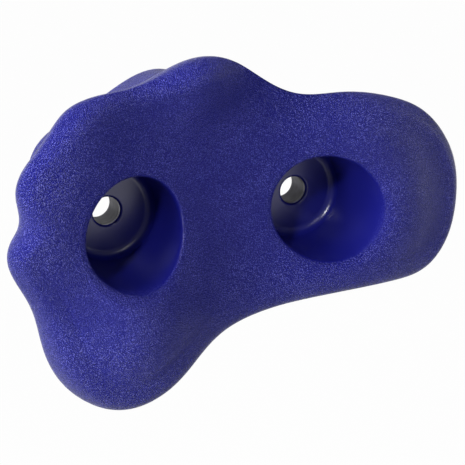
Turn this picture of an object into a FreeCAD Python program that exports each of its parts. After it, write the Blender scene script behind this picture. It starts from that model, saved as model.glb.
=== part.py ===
# A two-bolt climbing hold: one moulded plastic body with a lobed, overhanging rim, two deep
# bolt wells and a ribbed hollow back, and two steel sleeves moulded in around the bolt holes.
#
# Axes: X runs along the line of the two bolts, Z is up, and the wall is the plane Y = 0.
# The hold stands out from the wall towards -Y. The origin lies on the wall plane, midway
# between the bolts. A "rise" is a distance from the wall plane. Sizes are in millimetres.
import FreeCAD, Part
import Sketcher
import math
import os

Vector = FreeCAD.Vector
Placement = FreeCAD.Placement
Rotation = FreeCAD.Rotation

# The driving sizes, each under the name that the rest of the model uses.
DRIVING_SIZES = [
    ("hold_length", 180.0),
    ("hold_height", 130.0),
    ("hold_depth", 55.0),
    ("rim_overhang", 12.0),
    ("rim_smoothing_reach", 18.0),
    ("bolt_spacing", 75.0),
    ("bolt_hole_radius", 5.25),
    ("hole_lip_radius", 1.0),
    ("well_floor_radius", 17.6),
    ("well_mouth_radius", 20.4),
    ("well_floor_rise", 12.0),
    ("well_floor_fillet", 3.5),
    ("mouth_fillet", 2.5),
    ("wall", 4.5),
    ("seat_rim_width", 6.5),
    ("smallest_pocket_side", 8.0),
    ("rib_thickness", 2.6),
    ("rib_setback", 0.8),
    ("boss_wall", 3.2),
    ("floor_under_wall", 2.2),
    ("sleeve_wall", 1.6),
    ("sleeve_flange_radius", 11.5),
    ("sleeve_flange_thickness", 2.0),
    ("sleeve_cover", 1.8),
    ("overrun", 5.0),
]

document = FreeCAD.newDocument("climbing_hold")
sheet = document.addObject("Spreadsheet::Sheet", "sizes")
for row, (alias, size) in enumerate(DRIVING_SIZES, start=1):
    sheet.set("A%d" % row, alias)
    sheet.set("B%d" % row, str(size))
    sheet.setAlias("B%d" % row, alias)
document.recompute()


def size_of(alias):
    return float(getattr(sheet, alias))


hold_length = size_of("hold_length")
hold_height = size_of("hold_height")
hold_depth = size_of("hold_depth")
wall = size_of("wall")

# The rim's outline, seen from the front: places along the length and up the height as shares of
# them, and how far the rim overhangs the seat there, as a share of rim_overhang. It starts
# between the two finger lobes on the left and runs down round the big lower lobe, along under
# the saddle, round the long right lobe, and back over the crown.
RIM_SHARES = [
    (-0.443, 0.012, 1.20),
    (-0.455, -0.052, 1.20),
    (-0.428, -0.135, 1.10),
    (-0.402, -0.211, 1.00),
    (-0.381, -0.320, 0.90),
    (-0.333, -0.446, 0.85),
    (-0.242, -0.522, 0.85),
    (-0.143, -0.488, 0.85),
    (-0.056, -0.396, 0.85),
    (0.012, -0.344, 0.85),
    (0.085, -0.312, 0.85),
    (0.223, -0.280, 0.85),
    (0.369, -0.266, 0.85),
    (0.468, -0.243, 0.85),
    (0.524, -0.158, 0.85),
    (0.543, -0.038, 0.85),
    (0.532, 0.091, 0.85),
    (0.491, 0.187, 0.85),
    (0.431, 0.258, 0.85),
    (0.362, 0.296, 0.85),
    (0.250, 0.323, 0.90),
    (0.142, 0.332, 0.95),
    (0.052, 0.391, 0.90),
    (-0.018, 0.446, 0.80),
    (-0.073, 0.458, 0.75),
    (-0.155, 0.422, 0.86),
    (-0.216, 0.392, 1.14),
    (-0.283, 0.379, 1.35),
    (-0.342, 0.349, 1.30),
    (-0.392, 0.258, 1.22),
    (-0.429, 0.191, 1.15),
    (-0.440, 0.143, 1.15),
    (-0.434, 0.092, 1.20),
]

# The widest line of the rim lies on a leaning plane, further off the wall towards the top and
# the left. These are shares of the depth: at the origin, and per whole length and height.
RIM_RISE_SHARE = 0.60
RIM_LEAN_LENGTH_SHARE = -0.20
RIM_LEAN_HEIGHT_SHARE = 0.30

# The front face is a level floor with round swells on it, one for each lobe. For each swell:
# its centre along the length and up the height, its reach in both, and its rise as a share of
# the depth.
FACE_FLOOR_SHARE = 0.57
FACE_SWELL_SHARES = [
    (0.350, -0.03, 0.155, 0.246, 0.34),
    (0.21, -0.20, 0.133, 0.120, 0.13),
    (0.28, 0.246, 0.167, 0.123, 0.13),
    (-0.21, -0.28, 0.16, 0.26, 0.42),
    (-0.42, 0.00, 0.122, 0.185, 0.145),
    (-0.344, 0.19, 0.167, 0.27, 0.235),
    (-0.09, 0.46, 0.133, 0.20, 0.345),
    (-0.32, 0.36, 0.10, 0.12, 0.145),
]

# Each column of points on the skin climbs the flank (shares of the way out and up to the widest
# line), turns round the rim by these angles, and runs over the face by these shares of the way
# to a ring inside the left well's mouth, where the skin ends in a flat cap that the well removes.
COLUMN_COUNT = 60
SKIN_SECTORS = 5
FLANK_SHARES = [(0.0, 0.0), (0.02, 0.28), (0.16, 0.56)]
UNDERSIDE_SHARE = 0.35
RIM_TURN_DEGREES = [-50, 0, 35, 65, 90]
ROUNDING_SHARE = 0.40
FACE_WAY_SHARES = [0.1, 0.25, 0.45, 0.7, 1.0]
MOUTH_RING_SHARE = 0.85
CAP_RING_SHARE = 0.5

# A well's mouth is rounded. The share says how far the middle of a quarter circle lies from the
# corner that it rounds, on the way to the middle of its chord.
MOUTH_COLUMN_COUNT = 24
ARC_SHARE = 2 - math.sqrt(2)


def points_within(ring, distance):
    """How many points of a closed ring lie within a distance to each side of any one of them."""
    step = sum((ring[i] - ring[i - 1]).Length for i in range(len(ring))) / len(ring)
    return max(1, int(round(distance / step)))


def ways_inwards(ring, distance):
    """The way inwards at each point of a closed ring, averaged over a distance to each side."""
    span = points_within(ring, distance)
    ways = []
    for i in range(len(ring)):
        along = ring[(i + span) % len(ring)] - ring[i - span]
        ways.append(Vector(-along.z, 0, along.x).normalize())
    return ways


def smoothed(ring, distance):
    """The ring with each point moved to the mean of the points within a distance."""
    span = points_within(ring, distance)
    result = []
    for i in range(len(ring)):
        near = [ring[(i + k) % len(ring)] for k in range(-span, span + 1)]
        result.append(sum(near, Vector()) / len(near))
    return result


def at_rise(point, rise):
    return Vector(point.x, -rise, point.z)


def face_rise(point):
    """How far the front face stands off the wall over a point of the wall plane."""
    rise_share = FACE_FLOOR_SHARE
    for along, up, reach_along, reach_up, swell in FACE_SWELL_SHARES:
        across = (point.x / hold_length - along) / reach_along
        above = (point.z / hold_height - up) / reach_up
        rise_share += swell * math.exp(-across * across - above * above)
    return rise_share * hold_depth


def rim_rise(point):
    along = point.x / hold_length
    up = point.z / hold_height
    return (RIM_RISE_SHARE + RIM_LEAN_LENGTH_SHARE * along + RIM_LEAN_HEIGHT_SHARE * up) * hold_depth


def closed_curve(points):
    curve = Part.BSplineCurve()
    curve.interpolate(Points=points, PeriodicFlag=True)
    return curve


# The outline is one smooth closed curve. Each of its points carries its overhang in Y.
outline = closed_curve([
    Vector(along * hold_length, hang * size_of("rim_overhang"), up * hold_height)
    for along, up, hang in RIM_SHARES
])
pole = Vector(-size_of("bolt_spacing") / 2, 0, 0)


def edges_and_feet(count):
    """Evenly spaced points of the rim, the seat's points under them, and their ways inwards."""
    marks = outline.discretize(Number=count + 1)[:-1]
    rim = [at_rise(mark, 0) for mark in marks]
    inwards = ways_inwards(rim, size_of("rim_smoothing_reach"))
    even_rim = smoothed(rim, size_of("rim_smoothing_reach"))
    seat = [point + way * mark.y for point, way, mark in zip(even_rim, inwards, marks)]
    return list(zip(rim, seat, inwards))


def outer_column(edge, foot, way):
    """The points of the outer skin from the seat's edge to the pole, in one upright slice."""
    widest = rim_rise(edge)
    swell = face_rise(edge + way * size_of("rim_overhang")) - widest
    rounding = ROUNDING_SHARE * swell + wall
    crest = edge + way * rounding
    column = []
    for out_share, up_share in FLANK_SHARES:
        column.append(at_rise(foot + (edge - foot) * out_share, widest * up_share))
    for degrees in RIM_TURN_DEGREES:
        turn = math.radians(degrees)
        if degrees < 0:
            back = edge + (foot - edge) * (1 - math.cos(turn))
            column.append(at_rise(back, widest * (1 + UNDERSIDE_SHARE * math.sin(turn))))
        else:
            spot = edge + (crest - edge) * (1 - math.cos(turn))
            column.append(at_rise(spot, widest + (face_rise(crest) - widest) * math.sin(turn)))
    radius_way = Vector(edge).normalize() * size_of("well_mouth_radius")
    mouth = pole + radius_way * MOUTH_RING_SHARE
    for share in FACE_WAY_SHARES:
        spot = crest + (mouth - crest) * share
        column.append(at_rise(spot, face_rise(spot)))
    column.append(at_rise(pole + radius_way * CAP_RING_SHARE, face_rise(pole)))
    return column


def chord_parameters(points):
    """Parameters from 0 to 1 that grow with the distance along a row of points."""
    travelled = [0.0]
    for before, after in zip(points, points[1:]):
        travelled.append(travelled[-1] + (after - before).Length)
    return [distance / travelled[-1] for distance in travelled]


def solid_through(columns):
    """A closed solid whose skin passes through all columns, in sectors, with flat ends."""
    count = len(columns)
    around = [k / count for k in range(count + 1)]
    down = [sum(values) / count for values in zip(*map(chord_parameters, columns))]
    rings = []
    for ring in zip(*columns):
        curve = Part.BSplineCurve()
        curve.interpolate(Points=list(ring), PeriodicFlag=True, Parameters=around)
        rings.append(curve)
    strands = []
    for row in zip(*[ring.getPoles() for ring in rings]):
        strand = Part.BSplineCurve()
        strand.interpolate(Points=list(row), Parameters=down)
        strands.append(strand)
    skin = Part.BSplineSurface()
    skin.buildFromPolesMultsKnots(
        [list(row) for row in zip(*[strand.getPoles() for strand in strands])],
        strands[0].getMultiplicities(),
        rings[0].getMultiplicities(),
        strands[0].getKnots(),
        rings[0].getKnots(),
        False,
        True,
        strands[0].Degree,
        rings[0].Degree,
    )
    skin.setVNotPeriodic()
    faces = []
    for sector in range(SKIN_SECTORS):
        patch = skin.copy()
        patch.segment(0, 1, sector / SKIN_SECTORS, (sector + 1) / SKIN_SECTORS)
        faces.append(patch.toShape())
    for knot in (skin.getUKnots()[0], skin.getUKnots()[-1]):
        faces.append(Part.Face(Part.Wire(skin.uIso(knot).toShape())))
    shell = Part.makeShell(faces)
    shell.sewShape()
    solid = Part.makeSolid(Part.Shell(shell.Faces))
    if solid.Volume < 0:
        solid.reverse()
    return solid


def well_radius(rise):
    """The radius of a well's wall at a rise. It grows evenly from the floor to past the face."""
    floor = size_of("well_floor_rise")
    share = (rise - floor) / (hold_depth + size_of("overrun") - floor)
    grown = size_of("well_mouth_radius") - size_of("well_floor_radius")
    return size_of("well_floor_radius") + share * grown


def flared_plug(centre):
    """A plug whose side flares like a trumpet's bell where a well's wall meets the front face.

    Cutting it from the body rounds the well's mouth, with the face's rise followed all round."""
    rounding = size_of("mouth_fillet")
    rows = []
    for step in range(MOUTH_COLUMN_COUNT):
        turn = 2 * math.pi * step / MOUTH_COLUMN_COUNT
        way = Vector(math.cos(turn), 0, math.sin(turn))
        mouth = face_rise(centre + way * size_of("well_mouth_radius"))
        radius = well_radius(mouth)
        corner = Vector(radius, face_rise(centre + way * radius))
        on_wall = Vector(well_radius(corner.y - rounding), corner.y - rounding)
        on_face = Vector(radius + rounding, face_rise(centre + way * (radius + rounding)))
        beyond = radius + 2 * rounding
        clear = Vector(beyond, face_rise(centre + way * beyond) + 0.8 * rounding)
        rows.append((way, corner, on_wall, on_face, clear))
    lowest = min(corner.y for way, corner, on_wall, on_face, clear in rows) - 3 * rounding
    highest = max(clear.y for way, corner, on_wall, on_face, clear in rows) + rounding
    columns = []
    for way, corner, on_wall, on_face, clear in rows:
        middle = corner + ((on_wall + on_face) / 2 - corner) * ARC_SHARE
        profile = [
            Vector(on_wall.x - 0.9 * rounding, lowest),
            Vector(on_wall.x - 0.45 * rounding, on_wall.y - rounding),
            on_wall,
            middle,
            on_face,
            clear,
            Vector(clear.x + 0.5 * rounding, highest),
        ]
        columns.append([at_rise(centre + way * point.x, point.y) for point in profile])
    return solid_through(columns)


def feature(name, shape):
    item = document.addObject("Part::Feature", name)
    item.Shape = shape
    return item


def primitive(kind, name, turned=False, **sizes):
    """A primitive whose sizes and place follow the sheet. A turned one points off the wall."""
    item = document.addObject(kind, name)
    if turned:
        item.Placement = Placement(Vector(), Rotation(Vector(1, 0, 0), 90))
    for key, formula in sizes.items():
        path = {"x": "Placement.Base.x", "y": "Placement.Base.y", "z": "Placement.Base.z"}.get(key, key)
        item.setExpression(path, formula)
    return item


def fused(name, items):
    item = document.addObject("Part::MultiFuse", name)
    item.Shapes = items
    return item


def cut(name, base, tool):
    item = document.addObject("Part::Cut", name)
    item.Base = base
    item.Tool = tool
    return item


def lies_at_rise(edge, rise):
    return round(edge.BoundBox.YMin + rise, 5) == 0 and round(edge.BoundBox.YMax + rise, 5) == 0


def filleted(name, base, radius, picks):
    """The base with a fillet on each edge that picks returns true for."""
    document.recompute()
    edges = [number for number, edge in enumerate(base.Shape.Edges, start=1) if picks(edge)]
    item = document.addObject("Part::Fillet", name)
    item.Base = base
    item.Edges = [(number, radius, radius) for number in edges]
    return item


def extruded(name, base, length, start):
    """A flat face of the wall plane drawn out off the wall, from a start on the wall's side."""
    item = document.addObject("Part::Extrusion", name)
    item.Base = base
    item.DirMode = "Custom"
    item.Dir = Vector(0, -1, 0)
    item.Solid = True
    item.setExpression("LengthFwd", length)
    item.setExpression("LengthRev", start)
    return item


skin_rows = edges_and_feet(COLUMN_COUNT)
outer_form = feature("outer_form", solid_through([outer_column(*row) for row in skin_rows]))
hollow_edge = closed_curve([foot + way * size_of("seat_rim_width") for edge, foot, way in skin_rows])
hollow_plan = feature("hollow_plan", Part.Face(Part.Wire(hollow_edge.toShape())))

SIDES = [("left", "-sizes.bolt_spacing / 2"), ("right", "sizes.bolt_spacing / 2")]

# Each bolt well is a deep, slightly flared cup with a rounded floor. A tube wall of its own
# carries it down to the wall plane through the hollow back.
wells = []
tubes = []
for side, centre in SIDES:
    cone = primitive(
        "Part::Cone", side + "_well_cone", turned=True,
        Radius1="sizes.well_floor_radius",
        Radius2="sizes.well_mouth_radius",
        Height="sizes.hold_depth + sizes.overrun - sizes.well_floor_rise",
        x=centre,
        y="-sizes.well_floor_rise",
    )
    wells.append(filleted(
        side + "_well", cone, size_of("well_floor_fillet"),
        lambda edge: lies_at_rise(edge, size_of("well_floor_rise")),
    ))
    tubes.append(primitive(
        "Part::Cylinder", side + "_tube", turned=True,
        Radius="sizes.well_mouth_radius + sizes.wall",
        Height="2 * sizes.hold_depth",
        x=centre,
        y="sizes.hold_depth",
    ))

# Upright ribs cross the hollow a quarter of the bolt spacing apart, and two level ones tie them
# together: one on the bolt line, one across the lower lobe. They end just short of the wall.
ribs = []
for number in range(-4, 5):
    ribs.append(primitive(
        "Part::Box", "upright_rib",
        Length="sizes.rib_thickness",
        Width="2 * sizes.hold_depth",
        Height="2 * sizes.hold_height",
        x="%d * sizes.bolt_spacing / 4 - sizes.rib_thickness / 2" % number,
        y="-sizes.hold_depth",
        z="-sizes.hold_height",
    ))
for drop in ("0", "1"):
    ribs.append(primitive(
        "Part::Box", "level_rib",
        Length="2 * sizes.hold_length",
        Width="2 * sizes.hold_depth",
        Height="sizes.rib_thickness",
        x="-sizes.hold_length",
        y="-sizes.hold_depth",
        z="-%s * sizes.bolt_spacing / 2 - sizes.rib_thickness / 2" % drop,
    ))

# What the ribs and tubes leave of the hollow are the pockets. Each has a flat ceiling, at least a
# wall's thickness under the front face over it. A scrap too small to mould stays solid.
all_tubes = fused("all_tubes", tubes)
pocket_plans = cut("pocket_plans", hollow_plan, fused("ribs_and_tubes", ribs + [all_tubes]))
document.recompute()
pockets = []
for plan in pocket_plans.Shape.Faces:
    if plan.Area > size_of("smallest_pocket_side") ** 2:
        spots = [spot for edge in plan.Edges for spot in edge.discretize(Number=9)]
        ceiling = min(face_rise(spot) for spot in spots + [plan.CenterOfMass]) - wall
        pockets.append(extruded("pocket", feature("pocket_plan", plan), str(ceiling), "sizes.overrun"))
setback_plan = cut("setback_plan", hollow_plan, all_tubes)
setback = extruded("setback", setback_plan, "sizes.rib_setback", "sizes.overrun")

# Under each well floor a boss holds the sleeve, and six webs tie the boss to the tube.
recesses = []
sleeve_seats = []
recess_depth = (
    "sizes.well_floor_rise - sizes.sleeve_cover - sizes.sleeve_flange_thickness - sizes.floor_under_wall"
)
for side, centre in SIDES:
    pan = primitive(
        "Part::Cylinder", side + "_pan", turned=True,
        Radius="sizes.well_floor_radius",
        Height=recess_depth + " + sizes.overrun",
        x=centre,
        y="sizes.overrun",
    )
    boss = primitive(
        "Part::Cylinder", side + "_boss", turned=True,
        Radius="sizes.bolt_hole_radius + sizes.sleeve_wall + sizes.boss_wall",
        Height=recess_depth + " + sizes.overrun",
        x=centre,
        y="sizes.overrun",
    )
    webs = []
    for turn in (0, 60, 120):
        web = primitive(
            "Part::Box", side + "_web",
            Length="2 * sizes.well_mouth_radius",
            Width="sizes.hold_depth",
            Height="sizes.rib_thickness",
        )
        web.Placement.Rotation = Rotation(Vector(0, 1, 0), turn)
        offset = Vector(-size_of("well_mouth_radius"), 0, -size_of("rib_thickness") / 2)
        at = web.Placement.Rotation.multVec(offset)
        sign = -1 if side == "left" else 1
        web.Placement.Base = at + Vector(
            sign * size_of("bolt_spacing") / 2, -size_of("rib_setback") - size_of("hold_depth"), 0
        )
        webs.append(web)
    recesses.append(cut(side + "_recess", pan, fused(side + "_boss_and_webs", [boss] + webs)))
    stem = primitive(
        "Part::Cylinder", side + "_stem_space", turned=True,
        Radius="sizes.bolt_hole_radius + sizes.sleeve_wall",
        Height="sizes.well_floor_rise - sizes.sleeve_cover + sizes.overrun",
        x=centre,
        y="sizes.overrun",
    )
    flange = primitive(
        "Part::Cylinder", side + "_flange_space", turned=True,
        Radius="sizes.sleeve_flange_radius",
        Height="sizes.sleeve_flange_thickness",
        x=centre,
        y="sizes.sleeve_cover + sizes.sleeve_flange_thickness - sizes.well_floor_rise",
    )
    hole = primitive(
        "Part::Cylinder", side + "_hole", turned=True,
        Radius="sizes.bolt_hole_radius",
        Height="sizes.hold_depth",
        x=centre,
    )
    sleeve_seats += [stem, flange, hole]


def on_hole_lip(edge):
    """Whether an edge is the rim of a bolt hole on its well's floor."""
    reach = round(edge.BoundBox.ZMax - size_of("bolt_hole_radius"), 5)
    return lies_at_rise(edge, size_of("well_floor_rise")) and reach == 0


plugs = [
    feature("left_mouth_plug", flared_plug(Vector(-size_of("bolt_spacing") / 2, 0, 0))),
    feature("right_mouth_plug", flared_plug(Vector(size_of("bolt_spacing") / 2, 0, 0))),
]
welled = cut("welled", outer_form, fused("well_spaces", wells + plugs))
bored = cut("bored", welled, fused("back_spaces", pockets + [setback] + recesses + sleeve_seats))
hold_body = filleted("hold_body", bored, size_of("hole_lip_radius"), on_hole_lip)


def bolt_sleeve(side, centre):
    """A turned steel sleeve: a tube with a wide flange at the end under the well's floor."""
    body = document.addObject("PartDesign::Body", side + "_bolt_sleeve")
    plane = [item for item in body.Origin.OriginFeatures if item.Role == "XY_Plane"][0]
    sketch = body.newObject("Sketcher::SketchObject", side + "_sleeve_profile")
    sketch.AttachmentSupport = [(plane, "")]
    sketch.MapMode = "FlatFace"
    inner = size_of("bolt_hole_radius")
    outer = inner + size_of("sleeve_wall")
    brim = size_of("sleeve_flange_radius")
    top = -(size_of("well_floor_rise") - size_of("sleeve_cover"))
    under = top + size_of("sleeve_flange_thickness")
    corners = [(inner, 0), (inner, top), (brim, top), (brim, under), (outer, under), (outer, 0)]
    for start, end in zip(corners, corners[1:] + corners[:1]):
        sketch.addGeometry(Part.LineSegment(Vector(*start, 0), Vector(*end, 0)))
    for line in range(6):
        sketch.addConstraint(Sketcher.Constraint("Coincident", line, 2, (line + 1) % 6, 1))
        direction = "Vertical" if line % 2 == 0 else "Horizontal"
        sketch.addConstraint(Sketcher.Constraint(direction, line))
    sketch.addConstraint(Sketcher.Constraint("PointOnObject", 0, 1, -1))
    for name, first, second, value, formula in (
        ("inner_radius", (-1, 1), (0, 1), inner, "sizes.bolt_hole_radius"),
        ("outer_radius", (-1, 1), (4, 2), outer, "sizes.bolt_hole_radius + sizes.sleeve_wall"),
        ("flange_radius", (-1, 1), (2, 1), brim, "sizes.sleeve_flange_radius"),
    ):
        number = sketch.addConstraint(Sketcher.Constraint("DistanceX", *first, *second, value))
        sketch.renameConstraint(number, name)
        sketch.setExpression("Constraints." + name, formula)
    for name, first, second, value, formula in (
        ("length", (0, 2), (0, 1), -top, "sizes.well_floor_rise - sizes.sleeve_cover"),
        ("flange", (2, 1), (2, 2), under - top, "sizes.sleeve_flange_thickness"),
    ):
        number = sketch.addConstraint(Sketcher.Constraint("DistanceY", *first, *second, value))
        sketch.renameConstraint(number, name)
        sketch.setExpression("Constraints." + name, formula)
    turned = body.newObject("PartDesign::Revolution", side + "_sleeve_turned")
    turned.Profile = sketch
    turned.ReferenceAxis = (sketch, ["V_Axis"])
    turned.Angle = 360
    body.setExpression("Placement.Base.x", centre)
    return body


sleeves = [bolt_sleeve(side, centre) for side, centre in SIDES]

hold_body.Label = "hold_body"
for (side, centre), sleeve in zip(SIDES, sleeves):
    sleeve.Label = side + "_bolt_sleeve"
nodes = [hold_body] + sleeves

document.recompute()
for item in document.Objects:
    if "Invalid" in item.State or "Error" in item.State:
        raise RuntimeError("%s did not build: %s" % (item.Name, item.State))
for node in nodes:
    if node.Shape.isNull() or not node.Shape.isValid():
        raise RuntimeError("%s has no sound shape" % node.Label)
os.makedirs("parts", exist_ok=True)
for node in nodes:
    node.Shape.exportStep("parts/" + node.Label + ".step")
    print(node.Label, round(node.Shape.Volume, 1), node.Shape.BoundBox)
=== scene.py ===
import bpy
import bmesh
import math
from mathutils import Matrix, Vector


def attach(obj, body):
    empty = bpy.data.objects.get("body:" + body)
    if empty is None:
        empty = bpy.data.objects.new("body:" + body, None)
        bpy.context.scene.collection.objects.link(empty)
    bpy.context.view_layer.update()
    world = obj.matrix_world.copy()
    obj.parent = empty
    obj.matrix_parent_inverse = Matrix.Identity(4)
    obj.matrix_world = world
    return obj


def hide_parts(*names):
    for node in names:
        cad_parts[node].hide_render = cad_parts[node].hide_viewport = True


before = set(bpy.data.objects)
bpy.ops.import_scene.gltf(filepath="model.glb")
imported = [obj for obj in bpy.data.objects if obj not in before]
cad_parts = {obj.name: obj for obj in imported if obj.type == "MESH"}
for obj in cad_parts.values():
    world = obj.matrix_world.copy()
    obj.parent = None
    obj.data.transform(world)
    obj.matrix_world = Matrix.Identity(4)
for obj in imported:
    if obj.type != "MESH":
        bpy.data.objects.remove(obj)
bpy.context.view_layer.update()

# The body is one thick piece of polyethylene, injection moulded in a steel mould. Its skin is a
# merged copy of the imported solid's, shaded smooth except across its moulded corners. Edges that
# fold by more than FOLD_ANGLE are slivers of that mesh, not corners, and are shaded smooth too.
MERGE_DISTANCE = 1e-6
CORNER_ANGLE = math.radians(28)
FOLD_ANGLE = math.radians(125)
moulded_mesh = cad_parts["hold_body"].data.copy()
moulded_mesh.name = "moulded_body"
moulded_mesh.materials.clear()
skin = bmesh.new()
skin.from_mesh(moulded_mesh)
bmesh.ops.remove_doubles(skin, verts=skin.verts, dist=MERGE_DISTANCE)
bmesh.ops.dissolve_degenerate(skin, edges=skin.edges, dist=MERGE_DISTANCE)
for face in skin.faces:
    face.smooth = True
for edge in skin.edges:
    edge.smooth = not CORNER_ANGLE < edge.calc_face_angle(0.0) < FOLD_ANGLE
skin.to_mesh(moulded_mesh)
skin.free()
moulded_body = bpy.data.objects.new("moulded_body", moulded_mesh)
bpy.context.collection.objects.link(moulded_body)

# The large faces decide how the skin is shaded, so the slivers between them don't show.
even_shading = moulded_body.modifiers.new("even_shading", "WEIGHTED_NORMAL")
even_shading.mode = "FACE_AREA"
even_shading.keep_sharp = True


def linear(hex_colour):
    """An sRGB hex colour as linear RGBA."""
    values = []
    for start in (1, 3, 5):
        share = int(hex_colour[start:start + 2], 16) / 255
        values.append(share / 12.92 if share <= 0.04045 else ((share + 0.055) / 1.055) ** 2.4)
    return (*values, 1.0)


def add_node(tree, kind, links=(), inputs=(), **settings):
    """A node with its settings, its inputs' values, and its inputs' links from other nodes."""
    node = tree.nodes.new(kind)
    for name, value in settings.items():
        setattr(node, name, value)
    for socket, value in dict(inputs).items():
        node.inputs[socket].default_value = value
    for socket, source in dict(links).items():
        tree.links.new(source, node.inputs[socket])
    return node


# Moulded polyethylene, pigmented deep blue. Where hands and feet go, the mould was blasted to a
# sand texture. The crests of its grains are paler and greyer, partly their own matte tone and
# partly a painted sheen that stands in for the whitish glints of reflected light. Inside the wells
# the mould was polished, so the plastic stays dark and clear there, without that painted sheen,
# with a waxy gloss.
PIGMENT = linear("#14166d")
# The paler crest colour is partly the crests' own tone and partly painted sheen.
CREST_TINT_AND_SHEEN = linear("#6062bc")
GRAIN_WIDTH = 0.00042
GRAIN_HEIGHT = 0.00066
MOTTLE_WIDTH = 0.018
SANDED_ROUGHNESS = 0.28
POLISHED_ROUGHNESS = 0.30
WAXY_GLOSS = 0.60
LEFTOVER_GRAIN = 0.04

# Each bolt's axis is BOLT_REACH from the middle. The polish ends and the texture starts at the
# mouth of its well, at these distances from the axis.
BOLT_REACH = 0.0375
POLISH_END = 0.0193
TEXTURE_START = 0.0201
plastic = bpy.data.materials.new("sand_textured_polyethylene")
plastic.use_nodes = True
tree = plastic.node_tree
tree.nodes.clear()
place = add_node(tree, "ShaderNodeTexCoord").outputs["Object"]
axes = add_node(tree, "ShaderNodeSeparateXYZ", links={0: place}).outputs
sideways = add_node(
    tree, "ShaderNodeMath", operation="ABSOLUTE", links={0: axes["X"]}
).outputs[0]
off_centre = add_node(
    tree, "ShaderNodeMath", operation="SUBTRACT", links={0: sideways}, inputs={1: BOLT_REACH}
).outputs[0]
flat_place = add_node(
    tree, "ShaderNodeCombineXYZ", links={"X": off_centre, "Z": axes["Z"]}
).outputs[0]
from_bolt = add_node(
    tree, "ShaderNodeVectorMath", operation="LENGTH", links={0: flat_place}
).outputs["Value"]
outside = add_node(
    tree, "ShaderNodeMapRange", links={"Value": from_bolt}, interpolation_type="SMOOTHSTEP",
    inputs={"From Min": POLISH_END, "From Max": TEXTURE_START},
).outputs["Result"]

# The sand texture is a noise of the grains' width, less the rounded pits between pebbles of the
# same width.
grain = add_node(
    tree, "ShaderNodeTexNoise", links={"Vector": place},
    inputs={"Scale": 1 / GRAIN_WIDTH, "Detail": 1.0, "Roughness": 0.6},
).outputs["Fac"]
pebbles = add_node(
    tree, "ShaderNodeTexVoronoi", links={"Vector": place}, feature="SMOOTH_F1",
    inputs={"Scale": 1 / GRAIN_WIDTH, "Smoothness": 0.5},
).outputs["Distance"]
texture = add_node(
    tree, "ShaderNodeMath", operation="SUBTRACT", links={0: grain, 1: pebbles}
).outputs[0]

# The crests take the paler colour, with its painted sheen, outside the wells, more in some patches
# than in others. A Mix node's colours are its inputs 6 and 7, and its output 2.
mottle = add_node(
    tree, "ShaderNodeTexNoise", links={"Vector": place},
    inputs={"Scale": 1 / MOTTLE_WIDTH, "Detail": 4.0},
).outputs["Fac"]
crests = add_node(
    tree, "ShaderNodeMapRange", links={"Value": texture},
    inputs={"From Min": 0.0, "From Max": 0.35, "To Min": -0.4, "To Max": 1.7},
).outputs["Result"]
crests_outside = add_node(
    tree, "ShaderNodeMath", operation="MULTIPLY", links={0: crests, 1: outside}
).outputs[0]
# How much of the paler colour, partly painted sheen, each point takes.
paleness_and_sheen = add_node(
    tree, "ShaderNodeMath", operation="MULTIPLY", use_clamp=True,
    links={0: crests_outside, 1: mottle},
).outputs[0]
colour = add_node(
    tree, "ShaderNodeMix", data_type="RGBA", links={"Factor": paleness_and_sheen},
    inputs={6: PIGMENT, 7: CREST_TINT_AND_SHEEN},
).outputs[2]
roughness = add_node(
    tree, "ShaderNodeMapRange", links={"Value": outside},
    inputs={"To Min": POLISHED_ROUGHNESS, "To Max": SANDED_ROUGHNESS},
).outputs["Result"]
polish = add_node(
    tree, "ShaderNodeMapRange", links={"Value": outside},
    inputs={"To Min": WAXY_GLOSS, "To Max": 0.0},
).outputs["Result"]
relief = add_node(
    tree, "ShaderNodeMapRange", links={"Value": outside},
    inputs={"To Min": LEFTOVER_GRAIN, "To Max": 1.0},
).outputs["Result"]
bump = add_node(
    tree, "ShaderNodeBump", links={"Height": texture, "Strength": relief},
    inputs={"Distance": GRAIN_HEIGHT},
).outputs["Normal"]
shader = add_node(
    tree, "ShaderNodeBsdfPrincipled",
    links={"Base Color": colour, "Roughness": roughness, "Normal": bump, "Coat Weight": polish},
    inputs={"IOR": 1.51, "Specular IOR Level": 0.19, "Coat Roughness": 0.25},
)
add_node(tree, "ShaderNodeOutputMaterial", links={"Surface": shader.outputs[0]})
moulded_mesh.materials.append(plastic)
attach(moulded_body, "root")
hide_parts("hold_body")

# The two sleeves are turned steel tubes with a flange, moulded in under the floors of the wells.
# They carry the bolts' load to the wall, and from the front only their bores show: dull grey,
# with the rings that the lathe left, drawn 2.5 mm apart so that they show, and a thin oxide film.
STEEL_LIGHT = linear("#5c5c63")
STEEL_DARK = linear("#46454b")
RING_SPACING = 0.0025
RING_HEIGHT = 0.00003
FILM_WIDTH = 0.0033
WAVE_PERIOD = math.tau / 20  # of the wave texture at a scale of 1
steel = bpy.data.materials.new("turned_steel")
steel.use_nodes = True
tree = steel.node_tree
tree.nodes.clear()
place = add_node(tree, "ShaderNodeTexCoord").outputs["Object"]
rings = add_node(
    tree, "ShaderNodeTexWave", links={"Vector": place}, bands_direction="Y",
    inputs={"Scale": WAVE_PERIOD / RING_SPACING, "Distortion": 0.4, "Detail": 2.0},
).outputs["Fac"]
film = add_node(
    tree, "ShaderNodeTexNoise", links={"Vector": place},
    inputs={"Scale": 1 / FILM_WIDTH, "Detail": 5.0},
).outputs["Fac"]
colour = add_node(
    tree, "ShaderNodeMix", data_type="RGBA", links={"Factor": film},
    inputs={6: STEEL_LIGHT, 7: STEEL_DARK},
).outputs[2]
dulling = add_node(
    tree, "ShaderNodeMapRange", links={"Value": film}, inputs={"To Min": 0.35, "To Max": 0.6}
).outputs["Result"]
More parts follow.
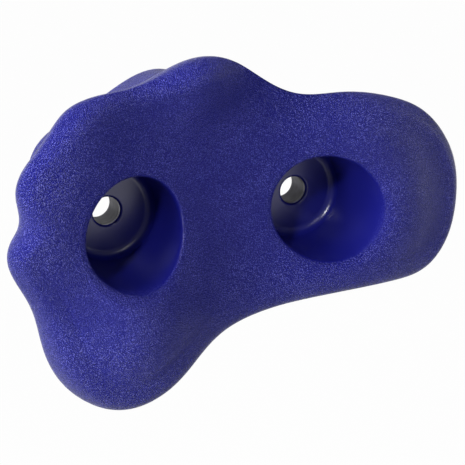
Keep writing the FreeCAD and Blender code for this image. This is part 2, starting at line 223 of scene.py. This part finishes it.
bump = add_node(
    tree, "ShaderNodeBump", links={"Height": rings},
    inputs={"Strength": 0.5, "Distance": RING_HEIGHT},
).outputs["Normal"]
shader = add_node(
    tree, "ShaderNodeBsdfPrincipled",
    links={"Base Color": colour, "Roughness": dulling, "Normal": bump},
    inputs={"Metallic": 1.0},
)
add_node(tree, "ShaderNodeOutputMaterial", links={"Surface": shader.outputs[0]})
for sleeve in ("left_bolt_sleeve", "right_bolt_sleeve"):
    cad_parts[sleeve].material_slots[0].material = steel

# The pale paper floor lies well below the hold, which a wall would carry. The camera sees it
# white with the hold's shadow kept, and so do reflections of its part behind the hold.
FLOOR_DROP = 0.80
FLOOR_HALF = 10.0
FLOOR_BACKDROP = (0.6, 1.6)
GLOW_SHARE = 0.98
PAPER_CLOUD = 0.025
floor_mesh = bpy.data.meshes.new("floor")
floor_mesh.from_pydata(
    [(-FLOOR_HALF, -FLOOR_HALF, -FLOOR_DROP), (FLOOR_HALF, -FLOOR_HALF, -FLOOR_DROP),
     (FLOOR_HALF, FLOOR_HALF, -FLOOR_DROP), (-FLOOR_HALF, FLOOR_HALF, -FLOOR_DROP)],
    [], [(0, 1, 2, 3)],
)
floor = bpy.data.objects.new("floor", floor_mesh)
bpy.context.collection.objects.link(floor)


def seen_as_white(tree, depth, start, end):
    """1 for camera and transmission rays; for glossy rays it rises from 0 to 1 with the depth."""
    rays = add_node(tree, "ShaderNodeLightPath").outputs
    behind = add_node(
        tree, "ShaderNodeMapRange", links={"Value": depth},
        inputs={"From Min": start, "From Max": end},
    ).outputs["Result"]
    reflected = add_node(
        tree, "ShaderNodeMath", operation="MULTIPLY",
        links={0: rays["Is Glossy Ray"], 1: behind},
    ).outputs[0]
    direct = add_node(
        tree, "ShaderNodeMath", operation="MAXIMUM",
        links={0: rays["Is Camera Ray"], 1: rays["Is Transmission Ray"]},
    ).outputs[0]
    return add_node(
        tree, "ShaderNodeMath", operation="MAXIMUM", links={0: direct, 1: reflected}
    ).outputs[0]


paper = bpy.data.materials.new("white_paper_floor")
paper.use_nodes = True
tree = paper.node_tree
tree.nodes.clear()
place = add_node(tree, "ShaderNodeTexCoord").outputs["Object"]
clouds = add_node(
    tree, "ShaderNodeTexNoise", links={"Vector": place},
    inputs={"Scale": 1 / PAPER_CLOUD, "Detail": 3.0},
).outputs["Fac"]
colour = add_node(
    tree, "ShaderNodeMix", data_type="RGBA", links={"Factor": clouds},
    inputs={6: linear("#e6e6e8"), 7: linear("#e9e9ea")},
).outputs[2]
lit = add_node(tree, "ShaderNodeBsdfDiffuse", links={"Color": colour})
glow = add_node(tree, "ShaderNodeEmission", inputs={"Color": (1, 1, 1, 1), "Strength": 1.0})
depth = add_node(tree, "ShaderNodeSeparateXYZ", links={0: place}).outputs["Y"]
glow_share = add_node(
    tree, "ShaderNodeMath", operation="MULTIPLY",
    links={0: seen_as_white(tree, depth, *FLOOR_BACKDROP)}, inputs={1: GLOW_SHARE},
).outputs[0]
mixed = add_node(
    tree, "ShaderNodeMixShader", links={0: glow_share, 1: lit.outputs[0], 2: glow.outputs[0]}
)
add_node(tree, "ShaderNodeOutputMaterial", links={"Surface": mixed.outputs[0]})
floor_mesh.materials.append(paper)

# The room lights the hold at a plain, soft level. The camera sees it white, and so do reflections
# of the backdrop, which is the part of the room straight behind the hold.
ROOM_LEVEL = 0.21
ROOM_BACKDROP = (0.80, 0.95)
world = bpy.data.worlds.new("white_room")
bpy.context.scene.world = world
world.use_nodes = True
tree = world.node_tree
tree.nodes.clear()
direction = add_node(tree, "ShaderNodeTexCoord").outputs["Generated"]
depth = add_node(tree, "ShaderNodeSeparateXYZ", links={0: direction}).outputs["Y"]
room = add_node(
    tree, "ShaderNodeBackground", inputs={"Color": (1, 1, 1, 1), "Strength": ROOM_LEVEL}
)
white = add_node(
    tree, "ShaderNodeBackground", inputs={"Color": (1, 1, 1, 1), "Strength": 1.0}
)
mixed = add_node(
    tree, "ShaderNodeMixShader",
    links={0: seen_as_white(tree, depth, *ROOM_BACKDROP), 1: room.outputs[0], 2: white.outputs[0]},
)
add_node(tree, "ShaderNodeOutputWorld", links={"Surface": mixed.outputs[0]})

# The soft lamps, each with its place, power and width: two broad ones above and at the left, one
# weak one over the camera, a small one that makes the texture glint along the lips, and two weak
# ones at the right and below.
LIT_POINT = Vector((0, -0.03, 0))
for name, position, watts, width in (
    ("main_softbox", (-0.66, 0.00, 0.75), 11.5, 0.55),
    ("left_softbox", (-0.97, -0.20, -0.02), 11.0, 0.60),
    ("front_softbox", (-0.10, -0.85, 0.50), 0.7, 0.25),
    ("accent_softbox", (-0.60, -0.62, 0.48), 5.0, 0.08),
    ("right_softbox", (0.95, 0.05, 0.12), 1.8, 0.60),
    ("low_softbox", (0.40, -0.82, -0.40), 3.4, 0.80),
):
    lamp = bpy.data.lights.new(name, "AREA")
    lamp.energy = watts
    lamp.size = width
    softbox = bpy.data.objects.new(name, lamp)
    turn = (LIT_POINT - Vector(position)).to_track_quat("-Z", "Y").to_matrix().to_4x4()
    softbox.matrix_world = Matrix.Translation(position) @ turn
    bpy.context.collection.objects.link(softbox)

# The camera stands in front of the hold, to its left and a little above it. Its lens frames the
# whole hold with a narrow white margin.
CAMERA_PLACE = (-0.21199, -0.49950, 0.15080)
TURN_LEFT = math.radians(24.7)
TILT_DOWN = math.radians(17.05)
ROLL = math.radians(0.65)
lens = bpy.data.cameras.new("camera")
lens.sensor_fit = "HORIZONTAL"
lens.sensor_width = 36.0
lens.lens = 115.74
lens.clip_start = 0.01
camera = bpy.data.objects.new("camera", lens)
camera.matrix_world = (
    Matrix.Translation(CAMERA_PLACE)
    @ Matrix.Rotation(-TURN_LEFT, 4, "Z")
    @ Matrix.Rotation(math.pi / 2 - TILT_DOWN, 4, "X")
    @ Matrix.Rotation(ROLL, 4, "Z")
)
bpy.context.collection.objects.link(camera)
bpy.context.scene.camera = camera
bpy.context.scene.view_settings.view_transform = "Standard"
